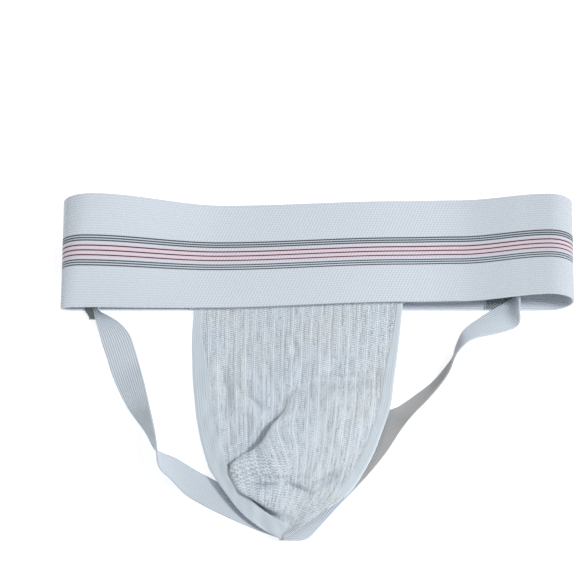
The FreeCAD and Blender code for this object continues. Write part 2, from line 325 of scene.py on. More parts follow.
class Shader:
    """One node material under construction."""

    def __init__(self, name: str) -> None:
        """Start a material with only an output and a surface shader."""
        self.material = bpy.data.materials.new(name)
        self.material.use_nodes = True
        self.tree = self.material.node_tree
        self.tree.nodes.clear()
        self.output = self.tree.nodes.new("ShaderNodeOutputMaterial")
        self.surface = self.tree.nodes.new("ShaderNodeBsdfPrincipled")
        self.tree.links.new(self.surface.outputs[0], self.output.inputs["Surface"])

    def _feed(self, socket: bpy.types.NodeSocket, value: object) -> None:
        """Link or set one input."""
        if isinstance(value, Sig):
            value = value.socket
        if isinstance(value, bpy.types.NodeSocket):
            self.tree.links.new(value, socket)
        else:
            socket.default_value = value

    def node(self, kind: str, settings: dict, values: dict, out: object = 0) -> Sig:
        """Add a node.

        Args:
            kind: node type name.
            settings: attributes, set first.
            values: value or link for each input, by name or number.
            out: which output to return.

        Returns:
            The output as a signal.
        """
        made = self.tree.nodes.new(kind)
        for key, value in settings.items():
            setattr(made, key, value)
        for key, value in values.items():
            self._feed(made.inputs[key], value)
        return Sig(self, made.outputs[out])

    def weave(self) -> tuple[Sig, Sig]:
        """Pattern position along and across the piece, in millimetres."""
        uv = self.node("ShaderNodeUVMap", {"uv_map": "weave"}, {})
        parts = self.tree.nodes.new("ShaderNodeSeparateXYZ")
        self.tree.links.new(uv.socket, parts.inputs[0])
        return Sig(self, parts.outputs[0]), Sig(self, parts.outputs[1])

    def noise(self, scale: float, detail: float = 3.0, stretch: Point = (1.0, 1.0, 1.0)) -> Sig:
        """Noise over the piece in object space; scale is per metre."""
        where = self.node("ShaderNodeTexCoord", {}, {}, "Object")
        mapped = self.node("ShaderNodeMapping", {}, {"Vector": where, "Scale": stretch})
        return self.node("ShaderNodeTexNoise", {}, {"Vector": mapped, "Scale": scale, "Detail": detail}, "Fac")

    def mix(self, factor: object, first: object, second: object, blend: str = "MIX") -> Sig:
        """Colour mix."""
        made = self.tree.nodes.new("ShaderNodeMix")
        made.data_type = "RGBA"
        made.blend_type = blend
        for index, value in ((0, factor), (6, first), (7, second)):
            self._feed(made.inputs[index], rgba(value))
        return Sig(self, made.outputs[2])

    def shade(self, colour: object, amount: Sig) -> Sig:
        """Colour times a grey amount near one."""
        grey = self.node("ShaderNodeCombineColor", {}, {0: amount, 1: amount, 2: amount})
        return self.mix(1.0, colour, grey, "MULTIPLY")

    def relief(self, height: Sig, distance: float, strength: float = 1.0) -> Sig:
        """Bump from a height signal; distance in millimetres."""
        values = {"Height": height, "Distance": distance * MM, "Strength": strength}
        return self.node("ShaderNodeBump", {}, values)

    def finish(self, colour: object, roughness: object, normal: Optional[Sig] = None, sheen: float = 0.0,
               specular: float = 0.3) -> bpy.types.Material:
        """Connect the surface shader and return the material."""
        self._feed(self.surface.inputs["Base Color"], rgba(colour))
        self._feed(self.surface.inputs["Roughness"], roughness)
        self.surface.inputs["Sheen Weight"].default_value = sheen
        self.surface.inputs["Sheen Roughness"].default_value = 0.5
        self.surface.inputs["Specular IOR Level"].default_value = specular
        if normal is not None:
            self._feed(self.surface.inputs["Normal"], normal)
        return self.material


class Slot(Enum):
    """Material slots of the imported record."""

    BAND = "band_elastic"
    KNIT = "pouch_knit"
    BINDING = "binding_elastic"
    STRAP = "strap_elastic"
    THREAD = "thread"


@dataclass(frozen=True)
class WebbingFinish:
    """Wide woven elastic with ribs along its length and a striped centre."""

    ground: Colour = linear(214, 222, 231)
    navy: Colour = linear(11, 16, 32)
    wine: Colour = linear(76, 40, 60)
    blush: Colour = linear(230, 214, 224)
    gap: Colour = linear(212, 221, 232)
    rib: float = 1.7

    def build(self, name: str) -> bpy.types.Material:
        """Make the material."""
        sh = Shader(name)
        along, across = sh.weave()
        ribs = across.wave(self.rib)
        picks = along.wave(1.15)
        fuzz = sh.noise(900.0, 4.0)
        cloud = sh.noise(18.0, 2.0)
        twill = (along + across * 0.36).wave(2.15)
        where = 0.15 + 0.85 * along.line(-16.0, 72.0, 36.0)
        # the last two terms are painted shade: darker zones of the webbing towards its right end, on its slope
        # and at its end
        tone = 0.965 + 0.046 * ribs + 0.02 * picks * (1.4 - where) + 0.085 * twill * where \
            + 0.2 * (fuzz - 0.5) + 0.03 * (cloud - 0.5) \
            - 0.08 * along.line(-135.0, 22.0, 22.0) - 0.13 * along.line(-186.0, 14.0, 18.0)
        colour: object = self.ground
        side = abs(across)
        colour = sh.mix(side.line(0.0, 4.3, 0.8), colour, self.blush)
        for centre in (0.0, 3.2):
            colour = sh.mix(side.line(centre, 0.34, 0.15), colour, self.wine)
        colour = sh.mix(side.line(8.25, 2.0, 0.3), colour, self.gap)
        for centre in (6.6, 8.2, 9.9):
            broken = side.line(centre, 0.42, 0.1) * (0.86 + 0.14 * picks)
            colour = sh.mix(broken, colour, self.navy)
        colour = sh.shade(colour, tone)
        height = 0.55 * ribs + 0.25 * picks * (0.5 + 0.5 * ribs) + 0.2 * twill + 0.3 * fuzz
        return sh.finish(colour, 0.82, sh.relief(height, 0.16, 0.8), sheen=0.18, specular=0.25)


@dataclass(frozen=True)
class KnitFinish:
    """Open rib knit: ladders of short loops between smooth columns, with stray eyelets."""

    cool: Colour = linear(204, 214, 224)
    warm: Colour = linear(207, 214, 220)
    ladder: float = 6.4
    course: float = 1.45

    def build(self, name: str) -> bpy.types.Material:
        """Make the material."""
        sh = Shader(name)
        across, along = sh.weave()
        drift = sh.noise(45.0, 2.0)
        across = across + 1.3 * (drift - 0.5)
        streaks = sh.noise(330.0, 2.0, (1.0, 0.16, 1.0))
        patch = sh.noise(95.0, 3.0)
        grain = sh.noise(1150.0, 2.0)
        fuzz = sh.noise(620.0, 3.0)
        fine = sh.noise(1150.0, 1.0)
        away = across.sawtooth(self.ladder)
        rungs_here = away.line(0.0, 1.25, 0.45)
        rungs = ((along + 0.5 * (drift - 0.5)).wave(self.course) * 0.5 + 0.5).power(1.6)
        half_way = away.line(2.4, 0.3, 0.25)
        dots = ((along + 0.7).wave(self.course) * 0.5 + 0.5).power(3.0) * half_way
        seams = away.line(1.55, 0.12, 0.14) * ((streaks - 0.42) * 6.0).clamped()
        centre = away.line(0.0, 0.10, 0.14) * ((0.5 - streaks) * 6.0).clamped()
        holes = ((grain - 0.57) * 15.0).clamped() * (0.7 + 0.3 * rungs_here)
        amount = (0.25 + 1.1 * patch).clamped()
        dark = 0.40 * rungs * rungs_here * amount + 0.62 * dots * amount + 0.46 * seams + 0.26 * centre \
            + 0.62 * holes
        ribs = across.wave(1.6)
        tone = 1.18 - dark + 0.02 * ribs + 0.08 * (fuzz - 0.5) + 1.0 * (fine - 0.5)
        ground = sh.mix(((sh.noise(38.0, 3.0) - 0.36) * 3.2).clamped(), self.cool, self.warm)
        height = 0.2 * ribs - 1.0 * rungs * rungs_here * amount - 1.0 * dots - 1.5 * seams - centre \
            - 1.2 * holes + 0.9 * fuzz
        return sh.finish(sh.shade(ground, tone), 0.9, sh.relief(height, 0.2, 0.85), sheen=0.2, specular=0.2)


@dataclass(frozen=True)
class RibbedTapeFinish:
    """Narrow elastic tape with fine ribs along its length."""

    ground: Colour = linear(208, 217, 226)
    rib: float = 1.54
    depth: float = 0.14
    contrast: float = 0.07
    # painted highlight along the tape's turned edge
    edge_highlight: bool = False
    # painted shade: the switch below and the grey after it lay a grey over a stretch of the strap's length
    painted_shade: bool = False
    grey: Colour = linear(180, 181, 182)

    def build(self, name: str) -> bpy.types.Material:
        """Make the material."""
        sh = Shader(name)
        along, across = sh.weave()
        ribs = across.wave(self.rib)
        picks = along.wave(0.95)
        fuzz = sh.noise(1200.0, 3.0)
        cloud = sh.noise(25.0, 2.0)
        tone = 0.955 + self.contrast * ribs + 0.015 * picks + 0.05 * (fuzz - 0.5) + 0.03 * (cloud - 0.5)
        # painted highlight: a lighter line where the tape turns round the pouch's edge
        if self.edge_highlight:
            tone = tone + 0.14 * across.line(0.0, 0.6, 0.4)
        height = 0.8 * ribs + 0.25 * picks + 0.3 * fuzz
        colour: object = self.ground
        # painted shade: grey mixed over the middle stretch of the strap
        if self.painted_shade:
            colour = sh.mix(along.line(138.0, 48.0, 26.0), colour, self.grey)
        return sh.finish(sh.shade(colour, tone), 0.8, sh.relief(height, self.depth, 0.8), sheen=0.15,
                         specular=0.25)


@dataclass(frozen=True)
class ThreadFinish:
    """Twisted sewing thread."""

    ground: Colour = linear(226, 231, 236)

    def build(self, name: str) -> bpy.types.Material:
        """Make the material."""
        sh = Shader(name)
        along, around = sh.weave()
        twist = (along * 1.3 + around).wave(3.0)
        fuzz = sh.noise(2500.0, 2.0)
        tone = 0.95 + 0.05 * twist + 0.06 * (fuzz - 0.5)
        return sh.finish(sh.shade(self.ground, tone), 0.7, sh.relief(twist + fuzz, 0.05, 0.7), sheen=0.1)


@dataclass(frozen=True)
class FloorFinish:
    """Plain pale table."""

    ground: Colour = (0.93, 0.93, 0.93)
    glow: float = 0.50

    def build(self, name: str) -> bpy.types.Material:
        """Make the material."""
        sh = Shader(name)
        soft = sh.noise(6.0, 2.0)
        sh.surface.inputs["Emission Color"].default_value = (1.0, 1.0, 1.0, 1.0)
        sh.surface.inputs["Emission Strength"].default_value = self.glow
        return sh.finish(sh.shade(self.ground, 0.995 + 0.01 * (soft - 0.5)), 0.95, specular=0.0)


class Finishes:
    """Every finish, made once and handed out by slot."""

    def __init__(self) -> None:
        """Make the materials."""
        self.made: dict[Slot, bpy.types.Material] = {
            Slot.BAND: WebbingFinish().build("striped_webbing"),
            Slot.KNIT: KnitFinish().build("eyelet_knit"),
            # binding tape, with a painted highlight along its turned edge
            Slot.BINDING: RibbedTapeFinish(
                ground=linear(202, 212, 220), rib=1.6, depth=0.06, contrast=0.04, edge_highlight=True,
            ).build("binding_tape"),
            Slot.STRAP: RibbedTapeFinish().build("strap_elastic"),
            Slot.THREAD: ThreadFinish().build("sewing_thread"),
        }
        # the bartacks' own dark grey thread, partly painted shade: it also darkens the strap ends where they
        # lie under the waistband's front layer
        self.dark_thread_and_shade = ThreadFinish(ground=linear(112, 118, 119)).build("grey_bartack_thread_and_shade")
        # the right strap's finish, with painted shade along its middle stretch
        self.painted_shade_strap = RibbedTapeFinish(painted_shade=True, contrast=0.11).build("painted_shade_strap_elastic")

    def dress(self, obj: bpy.types.Object, slot: Slot, finish: Optional[bpy.types.Material] = None) -> None:
        """Give obj the finish of a slot, or another one."""
        obj.data.materials.clear()
        obj.data.materials.append(finish or self.made[slot])
        log.info("%s: %d faces", obj.name, len(obj.data.polygons))

    def on_band(self, obj: bpy.types.Object, node: str, slot: Slot,
                finish: Optional[bpy.types.Material] = None) -> None:
        """Dress a piece that stays with the waistband and stands for a node."""
        self.dress(obj, slot, finish)
        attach(obj, "waistband")
        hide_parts(node)


# --- waistband
@dataclass
class LoopShape:
    """Shape of the webbing loop at one of its edges, in millimetres."""

    ends: tuple[float, float]
    left: tuple[float, float, float, float]
    right: tuple[float, float, float, float]
    front: tuple[tuple[float, float], ...]


@dataclass
class Waistband:
    """Striped webbing ring, its closing overlap and the rows that sew it."""

    finishes: Finishes
    width: float = 76.0
    thick: float = 1.4
    edge_y: float = BAND_EDGE
    quarter_steps: int = 14
    front_steps: int = 96
    back_steps: int = 44
    rib: float = 1.7
    lower: LoopShape = field(default_factory=lambda: LoopShape(
        (-171.6, 171.4), (7.0, 8.0, 6.0, 3.0), (19.0, 16.0, 27.6, 15.5),
        ((-165.0, 6.0), (-75.0, 4.9), (60.0, 14.5), (95.0, 15.5), (157.0, 27.6))))
    upper: LoopShape = field(default_factory=lambda: LoopShape(
        (-169.6, 170.4), (14.0, 18.0, 24.5, 11.0), (19.0, 15.0, 23.5, 9.0),
        ((-151.6, 24.5), (-62.0, 4.4), (55.0, 11.6), (95.0, 13.0), (155.4, 23.5))))

    def loop(self, shape: LoopShape) -> np.ndarray:
        """Middle line of the webbing at one edge, as x and z, starting on the back layer."""
        low = self.thick / 2.0
        xl, xr = shape.ends
        l_low, l_top, l_crest, l_mid = shape.left
        r_low, r_top, r_crest, r_mid = shape.right
        a = np.linspace(0.0, math.pi / 2.0, self.quarter_steps, endpoint=False)
        xb = np.linspace(xl + l_low, xr - r_low, self.back_steps, endpoint=False)
        xf = np.linspace(xr - r_top, xl + l_top, self.front_steps, endpoint=False)
        parts = [
            (xb, np.full_like(xb, low)),
            (xr - r_low + r_low * np.sin(a), r_mid - (r_mid - low) * np.cos(a)),
            (xr - r_top + r_top * np.cos(a), r_mid + (r_crest - r_mid) * np.sin(a)),
            (xf, level_keys(shape.front, xf)),
            (xl + l_top - l_top * np.sin(a), l_mid + (l_crest - l_mid) * np.cos(a)),
            (xl + l_low - l_low * np.cos(a), l_mid - (l_mid - low) * np.sin(a)),
        ]
        return np.concatenate([np.stack(p, axis=1) for p in parts])

    def front_height(self, x: np.ndarray, y: np.ndarray) -> np.ndarray:
        """Height of the middle of the front layer."""
        v = (y - self.edge_y) / self.width
        return level_keys(self.lower.front, x) * (1.0 - v) + level_keys(self.upper.front, x) * v

    def relief(self, across: np.ndarray) -> np.ndarray:
        """Height of the woven ribs at a place across the webbing."""
        return 0.10 * ribbing(across, self.rib)

    def ring(self) -> None:
        """The webbing ring."""
        lo, hi = self.loop(self.lower), self.loop(self.upper)
        across = np.linspace(-self.width / 2.0, self.width / 2.0, 136)
        v = (across + self.width / 2.0) / self.width
        xz = lo[:, None, :] * (1.0 - v)[None, :, None] + hi[:, None, :] * v[None, :, None]
        y = np.broadcast_to(self.edge_y + self.width * v, xz.shape[:2])
        grid = np.stack([xz[..., 0], y, xz[..., 1]], axis=-1)
        middle = (lo + hi) / 2.0
        step = np.linalg.norm(np.diff(np.vstack([middle, middle[:1]]), axis=0), axis=1)
        along = np.concatenate([[0.0], np.cumsum(step)[:-1]])
        front = int(2 * self.quarter_steps + self.back_steps + self.front_steps * 0.55)
        along = along - along[front]
        uv = pattern(along, across[None, :])
        ribs = self.relief(across)[None, :]
        obj = cloth("waistband_webbing", grid, self.thick, uv, wrap=True, face=ribs, back=ribs)
        self.finishes.on_band(obj, "waistband", Slot.BAND)

    def overlap(self) -> None:
        """End of the webbing lapped inside the back layer, with its two rows of stitches."""
        centre, half = -13.5, 12.5
        x = np.linspace(centre - half, centre + half, 22)
        across = np.linspace(-self.width / 2.0, self.width / 2.0, 136)
        z = self.thick * 1.5 + 0.12
        y = self.edge_y + self.width / 2.0 + across[None, :]
        grid = np.stack(np.broadcast_arrays(x[:, None], y, z), axis=-1)
        uv = pattern(x, across[None, :])
        obj = cloth("webbing_lap_end", grid, self.thick, uv, face=self.relief(across)[None, :] * 0.6)
        self.finishes.on_band(obj, "waistband_lap_end", Slot.BAND)
        for side, sign in (("left", -1.0), ("right", 1.0)):
            row = centre + sign * (half - 3.0)
            y = np.arange(self.edge_y + 2.0, self.edge_y + self.width - 2.0, 1.1)
            zig = np.where(np.arange(len(y)) % 2 == 0, -0.9, 0.9)
            path = np.stack([row + zig, y, np.full_like(y, z + self.thick / 2.0 + 0.22)], axis=1)
            thread = tubes("lap_zigzag_" + side, [path], 0.22)
            self.finishes.on_band(thread, "lap_stitching_" + side, Slot.THREAD)

    def build(self) -> None:
        """Build every piece of the waistband."""
        self.ring()
        self.overlap()


# --- pouch
def fold_with_pouch(obj: bpy.types.Object) -> None:
    """Bake the placement of a piece of the pouch into its mesh."""
    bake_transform(obj)


@dataclass
class Pouch:
    """Knit pouch with its bindings, seams and the part sewn behind the waistband."""

    finishes: Finishes
    band: Waistband
    thick: float = 1.0
    columns: int = 208
    rows: int = 168
    drop: float = 167.0
    knit_width: float = 144.0
    wale: float = 3.2
    ladder: float = 6.4
    tape_thick: float = 0.4
    tape_rib: float = 1.6
    left_side: tuple = (
        (-82.3, 47), (-83.4, 32.8), (-83.7, 22.5), (-83.5, 10.6), (-83, -4.2), (-81.8, -19),
        (-80.3, -33.8), (-77.6, -48.6), (-73.7, -63.4), (-71, -70.8), (-61.9, -85.6), (-51, -100.6),
        (-38.6, -111.6), (-29.5, -117.2), (-23.6, -120.6))
    right_side: tuple = (
        (56.8, 47), (56, 38), (54.6, 25.4), (52.7, 10.6), (50.8, -4.2), (49.2, -19), (47.2, -28),
        (43, -41.2), (36.8, -58.5), (28, -75.8), (19.2, -88.1), (1.7, -101.7), (-11, -111.8),
        (-18.5, -117.8), (-22.6, -120.6))
    crease: tuple = (
        (-23.6, -10), (-24.2, -18), (-26.2, -28), (-29.4, -37.6), (-34.8, -48.6), (-41.8, -56.2),
        (-50, -61), (-56, -66.5), (-58.7, -73.3), (-57.6, -80.7), (-53.1, -87.6), (-46.4, -92.4),
        (-38.6, -98), (-29.7, -105.1), (-23.4, -114))
    # share of the full fold along the crease
    crease_amount: tuple = (
        (0, 0), (0.07, 0.25), (0.24, 1), (0.52, 1), (0.62, 0.6), (0.85, 0.5), (1, 0))
    # distance of the fabric past the crease, where it lies, and how high
    roll: tuple = (
        (-200, -200, 0), (-60, -60, 0), (-14, -14, -0.3),
        (-9, -9, -1.4), (-5, -5.2, -3.8), (-1.6, -2, -5.5), (1, 0.8, -5.6),
        (3.6, 1.8, -2.8), (6, 0.2, 0.4), (7.6, -1.3, 1.8), (9, -1.4, 3.3),
        (10.6, 0.2, 4.4), (13, 4.2, 5), (17, 12, 5), (24, 24, 4.2), (40, 40, 2),
        (70, 70, 0), (240, 240, 0))
    # centre x, centre y, radius x, radius y, turn in degrees, height
    swells: tuple = (
        (8, -42, 34, 28, 20, 5.6), (-27, -60, 15, 15, 0, 2.6), (-36, -86, 18, 6, -14, 2),
        (10, 24, 34, 20, 0, 1.6), (-61.6, -12, 3.4, 15, 4, -2.6), (-53, -6, 5, 20, -3, 1),
        (-72, 0, 7, 40, 0, 0.7), (-43, -20.5, 9, 3.1, -43, -2.6), (-45.5, -28, 9, 4, -43, 1.6),
        (-16.2, 21.2, 2.4, 7, 12, -1.6), (8, 37, 7, 3, 10, -1.4), (-10, -9, 15, 4.6, 26, -2.4),
        (19, -4, 24, 5.2, 6, -3.4), (16, -16, 30, 6, 8, 1.8), (40, 0, 2.6, 9, 0, -2),
        (30, -50, 26, 4.2, 62, -2.2), (4, -79, 15, 3, 38, -4.8), (-13, -84, 10, 2.4, -26, -3.6),
        (14, -88, 16, 5, 40, 1.2), (-35, -80, 8, 1.5, -4, -5.5), (-20, -98, 10, 4, -30, 1.4),
        (-12, -104, 12, 2.4, 42, -1.6),
    )
    wave_count: int = 46
    wave_height: float = 0.065

    def side_x(self, side: tuple, q: np.ndarray) -> np.ndarray:
        """x of an outline at a place down the pouch."""
        line = flowing(side, 400)
        return np.interp(-np.asarray(q, float), -line[:, 1], line[:, 0])

    def fold(self, x: np.ndarray, q: np.ndarray) -> tuple[np.ndarray, np.ndarray, np.ndarray]:
        """Distance past the crease (positive on the bulging side), how far along it, and its normal."""
        line = flowing(self.crease, 90)
        a, d = line[:-1], np.diff(line, axis=0)
        size = np.hypot(d[:, 0], d[:, 1])
        px, pq = x[..., None] - a[:, 0], q[..., None] - a[:, 1]
        s = np.clip((px * d[:, 0] + pq * d[:, 1]) / size ** 2, 0.0, 1.0)
        px, pq = px - s * d[:, 0], pq - s * d[:, 1]
        dist = np.hypot(px, pq)
        nearest = dist.min(axis=-1, keepdims=True)
        weight = np.exp(-(dist - nearest) / (0.25 + 0.22 * nearest))
        weight = weight / weight.sum(axis=-1, keepdims=True)
        nx, nq = -d[:, 1] / size, d[:, 0] / size
        pick = dist.argmin(axis=-1)[..., None]
        side = np.take_along_axis(px * nx + pq * nq, pick, axis=-1)[..., 0]
        signed = np.where(side >= 0.0, 1.0, -1.0) * nearest[..., 0]
        where = ((np.arange(len(d)) + s) * weight).sum(axis=-1) / len(d)
        normal = unit(np.stack([(nx * weight).sum(axis=-1), (nq * weight).sum(axis=-1)], axis=-1))
        return signed, where, normal

    def ripples(self, x: np.ndarray, q: np.ndarray) -> np.ndarray:
        """Small uneven waves of relaxed knit, longer down the pouch than across."""
        rng = np.random.default_rng(11)
        total = np.zeros(x.shape)
        for _ in range(self.wave_count):
            size = rng.uniform(7.0, 26.0)
            turn = rng.normal(0.0, 0.55)
            kx, kq = math.cos(turn) / size, math.sin(turn) / (size * 1.3)
            waves = np.cos(2.0 * math.pi * (kx * x + kq * q) + rng.uniform(0.0, 6.28))
            total = total + math.sqrt(size / 14.0) * waves
        return total * self.wave_height

    def base_height(self, x: np.ndarray, q: np.ndarray) -> np.ndarray:
        """Height of the fabric before the fold, from the outline and the swells."""
        t = (BAND_EDGE - q) / self.drop
        xl, xr = self.side_x(self.left_side, q), self.side_x(self.right_side, q)
        u = np.clip((x - xl) / np.maximum(xr - xl, 1e-6), 0.0, 1.0)
        left = level_keys(((0.0, 3.6), (0.45, 4.6), (0.72, 7.0), (1.0, 4.6)), t)
        right = level_keys(((0.0, 12.6), (0.4, 8.5), (0.75, 7.0), (1.0, 4.6)), t)
        crown = np.sin(math.pi * u) * level_keys(((0.0, 0.0), (0.25, 0.8), (0.7, 2.2), (1.0, 0.4)), t)
        low = left * (1.0 - u) + right * u + crown
        for cx, cq, rx, rq, turn, height in self.swells:
            a = math.radians(turn)
            dx, dq = x - cx, q - cq
            p = (dx * math.cos(a) + dq * math.sin(a)) / rx
            r = (-dx * math.sin(a) + dq * math.cos(a)) / rq
            edge = smoothstep(u, 0.0, 0.12) * smoothstep(1.0 - u, 0.0, 0.14)
            low = low + height * np.exp(-(p * p + r * r)) * edge
        low = low + self.ripples(x, q) * smoothstep(u, 0.0, 0.08) * smoothstep(1.0 - u, 0.0, 0.08)
        top = self.band.front_height(x, np.full_like(x, self.band.edge_y)) - BEHIND_FRONT
        k = smoothstep(t, 0.0, 0.22)
        return top * (1.0 - k) + low * k

    def surface(self, x: np.ndarray, q: np.ndarray, folded: bool = True) -> np.ndarray:
        """Points of the pouch fabric for places on its lay.

        Args:
            x: place across.
            q: place down the pouch.
            folded: with the overlapping crease, or as the fabric lies without it.

        Returns:
            Points, with a last axis of 3.
        """
        z = self.base_height(x, q)
        xs, qs = x, q
        if folded:
            signed, where, normal = self.fold(x, q)
            amount = level_keys(self.crease_amount, where)
            roll = flowing(self.roll, 400)
            place = np.interp(signed, roll[:, 0], roll[:, 1])
            rise = np.interp(signed, roll[:, 0], roll[:, 2])
            slide = (place - signed) * amount
            z = z + rise * amount
            xs = x + normal[..., 0] * slide
            qs = q + normal[..., 1] * slide
        lean = SLOPE * smoothstep(BAND_EDGE - q, 0.0, 40.0)
        return np.stack([xs, qs - z * lean, z], axis=-1)

    def lay(self, u: np.ndarray, q: np.ndarray) -> np.ndarray:
        """Points at a share u of the width."""
        xl, xr = self.side_x(self.left_side, q), self.side_x(self.right_side, q)
        return self.surface(xl + (xr - xl) * u, q)

    def panel(self) -> None:
        """The knit front of the pouch, from the waistband's lower edge to the tip."""
        u = np.linspace(0.0, 1.0, self.columns)
        q = np.linspace(-120.4, BAND_EDGE, self.rows)
        uu, qq = np.meshgrid(u, q, indexing="ij")
        grid = self.lay(uu, qq)
        xl, xr = self.side_x(self.left_side, qq), self.side_x(self.right_side, qq)
        even = xl + (xr - xl) * uu
        knit = 0.5 * even + 0.5 * (uu - 0.5) * self.knit_width
        uv = np.stack([knit, qq], axis=-1)
        ribs = 0.04 * ribbing(knit, self.wale) + 0.03 * ribbing(knit, self.ladder)
        obj = cloth("pouch_knit_panel", grid, self.thick, uv, face=ribs, back=ribs * 0.5)
        self.finishes.dress(obj, Slot.KNIT)
        fold_with_pouch(obj)
        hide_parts("pouch_panel")

    def header(self) -> None:
        """Top of the pouch sewn behind the front layer, with its two rows of stitches."""
        x = np.linspace(-86.0, 58.0, 150)
        y = np.linspace(BAND_EDGE, BAND_EDGE + 12.0, 14)
        xx, yy = np.meshgrid(x, y, indexing="ij")
        zz = self.band.front_height(xx, yy) - BEHIND_FRONT
        uv = np.stack([xx, yy], axis=-1)
        ribs = 0.12 * ribbing(xx, self.wale)
        obj = cloth("pouch_turned_top", np.stack([xx, yy, zz], axis=-1), self.thick, uv, back=ribs)
        self.finishes.on_band(obj, "pouch_header", Slot.KNIT)
        for name, row in (("lower", 50.0), ("upper", 56.0)):
            paths = []
            for start in np.arange(-84.0, 56.0, 3.4):
                xs = np.linspace(start, start + 2.5, 5)
                zs = self.band.front_height(xs, np.full_like(xs, row)) - 2.8 \
                    - 0.25 * np.sin(np.linspace(0.0, math.pi, 5))
                paths.append(np.stack([xs, np.full_like(xs, row), zs], axis=1))
            thread = tubes("pouch_seam_stitches_" + name, paths, 0.22)
            self.finishes.on_band(thread, "pouch_seam_" + name + "_stitching", Slot.THREAD)

    def edge_frame(self, side: tuple, sign: float, q0: float, q1: float,
                   count: int) -> tuple[np.ndarray, np.ndarray]:
        """Places along one outline and the inward direction at each."""
        line = flowing(side, 600)
        keep = line[(line[:, 1] <= q0) & (line[:, 1] >= q1)]
        line = flowing(keep[:: max(1, len(keep) // 60)], count)
        t = unit(np.gradient(line, axis=0))
        inward = np.stack([-t[:, 1], t[:, 0]], axis=1) * sign
        return line, inward

    def binding(self, name: str, side: tuple, sign: float, q1: float, width: float, top: float,
                replaced: str) -> None:
        """Ribbed tape folded round one edge of the pouch.

        Args:
            name: piece name.
            side: outline it follows.
            sign: 1 where inward is to the left of the way down.
            q1: where it ends.
            width: how much shows on the face lower down.
            top: share of the width that shows at the waistband.
            replaced: CAD node it stands for.
        """
        line, inward = self.edge_frame(side, sign, 46.6, q1, 190)
        under = np.linspace(5.0, 0.0, 8, endpoint=False)
        over = np.linspace(0.0, width, 40)
        reach = np.concatenate([under, over])
        gap = self.thick / 2.0 + 0.22
        settle = gap - 0.42 * smoothstep(over, width - 1.6, width)
        lift = np.concatenate([-np.full(len(under), gap), settle])
        around = np.arange(len(reach))
        turn = len(under)
        lift = np.where(np.abs(around - turn) < 3, gap * np.sin((around - turn) / 3.0 * math.pi / 2.0), lift)
        out = np.where(np.abs(around - turn) < 3, -0.25 * np.cos((around - turn) / 3.0 * math.pi / 2.0), 0.0)
        shown = 1.0 - (1.0 - top) * (1.0 - smoothstep(20.0 - line[:, 1], -26.0, 30.0))
        reaches = np.where(around[None, :] > turn, reach[None, :] * shown[:, None], reach[None, :])
        reaches = reaches + out[None, :]
        place = line[:, None, :] + inward[:, None, :] * reaches[..., None]
        base = self.surface(place[..., 0], place[..., 1], folded=False)
        n = grid_normals(base[:, turn:], False)
        n = np.concatenate([np.repeat(n[:, :1], turn, axis=1), n], axis=1)
        n = np.where(n[..., 2:3] < 0.0, -n, n)
        grid = base + n * lift[None, :, None]
        length = way_along(line)
        across = np.concatenate([-under, over])
        uv = pattern(length, across[None, :] * shown[:, None])
        relief = 0.03 * ribbing(across, self.tape_rib)
        if sign < 0.0:
            grid, uv, relief = grid[:, ::-1], uv[:, ::-1], relief[::-1]
        obj = cloth(name, grid, self.tape_thick, uv, face=relief[None, :])
        self.finishes.dress(obj, Slot.BINDING)
        fold_with_pouch(obj)
        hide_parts(replaced)

    def edge_stitches(self, name: str, side: tuple, sign: float, q1: float, inset: float,
                      replaced: str) -> None:
        """Row of stitches along a binding."""
        line, inward = self.edge_frame(side, sign, 44.0, q1, 420)
        place = line + inward * inset
        base = self.surface(place[:, 0], place[:, 1], folded=False)
        base[:, 2] += self.thick / 2.0 + 0.5
        paths = [base[i:i + 6] for i in range(0, len(base) - 6, 8)]
        thread = tubes(name, paths, 0.2)
        self.finishes.dress(thread, Slot.THREAD)
        fold_with_pouch(thread)
        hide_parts(replaced)

    def overlock(self) -> None:
        """Overlocked seam along the lower right edge of the tip."""
        line, inward = self.edge_frame(self.right_side, -1.0, -97.0, -120.5, 320)
        phase = np.arange(len(line)) * (2.0 * math.pi / 9.0)
        reach = 1.6 - 1.8 * np.cos(phase)
        place = line + inward * reach[:, None]
        base = self.surface(place[:, 0], place[:, 1], folded=False)
        base[:, 2] += 0.35 + 1.0 * np.sin(phase)
        thread = tubes("tip_overlock_thread", [base], 0.38)
        self.finishes.dress(thread, Slot.THREAD)
        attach(thread, "pouch")
        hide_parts("tip_overlock")

    def build(self) -> None:
        """Build every piece of the pouch."""
        self.panel()
        self.header()
        self.binding("pouch_binding_left", self.left_side, 1.0, -120.5, 11.0, 0.45, "pouch_left_binding")
        self.binding("pouch_binding_right", self.right_side, -1.0, -99.0, 7.5, 0.5, "pouch_right_binding")
        self.edge_stitches(
            "binding_stitches_left", self.left_side, 1.0, -110.0, 10.2, "left_binding_stitching")
        self.edge_stitches(
            "binding_stitches_right", self.right_side, -1.0, -96.0, 6.0, "right_binding_stitching")
        self.overlock()


